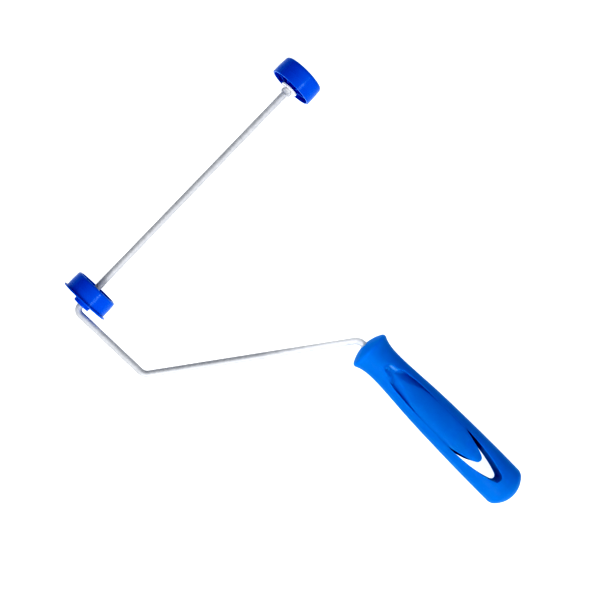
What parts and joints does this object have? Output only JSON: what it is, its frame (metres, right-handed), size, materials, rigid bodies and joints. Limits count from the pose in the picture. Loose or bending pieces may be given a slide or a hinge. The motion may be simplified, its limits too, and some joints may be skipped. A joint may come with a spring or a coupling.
{
  "type": "paint roller frame",
  "caption": "Bent wire frame with free-spinning end caps that carry a push-on paint roller sleeve, and a moulded handle with a hang window.",
  "frame": {"origin": "on the roller axis, in the face of the inner cap's flange that stops the sleeve", "axes": "+X along the roller axis to the free end, -Y from the roller to the handle's butt, +Z square to the plane of the bent wire, on the side of the handle's recess"},
  "size_m": [0.2653, 0.3785, 0.042],
  "materials": {
    "wire": "bright zinc plated, drawn wire",
    "handle": "glossy moulded polypropylene",
    "caps": "satin-gloss moulded polypropylene",
    "bushes": "natural white nylon",
    "washer": "spring steel, zinc plated"
  },
  "bodies": {
    "frame": {"frame_wire": "wire", "handle": "handle", "push_nut": "washer"},
    "inner_spinner": {"inner_cap": "caps", "inner_bush": "bushes"},
    "outer_spinner": {"outer_cap": "caps", "outer_bush": "bushes"}
  },
  "joints": [
    {"name": "inner_cap_spin", "type": "hinge", "parent": "frame", "child": "inner_spinner", "pos_m": [0.005, 0, 0], "axis": [1, 0, 0], "continuous": true},
    {"name": "outer_cap_spin", "type": "hinge", "parent": "frame", "child": "outer_spinner", "pos_m": [0.243, 0, 0], "axis": [1, 0, 0], "continuous": true}
  ]
}
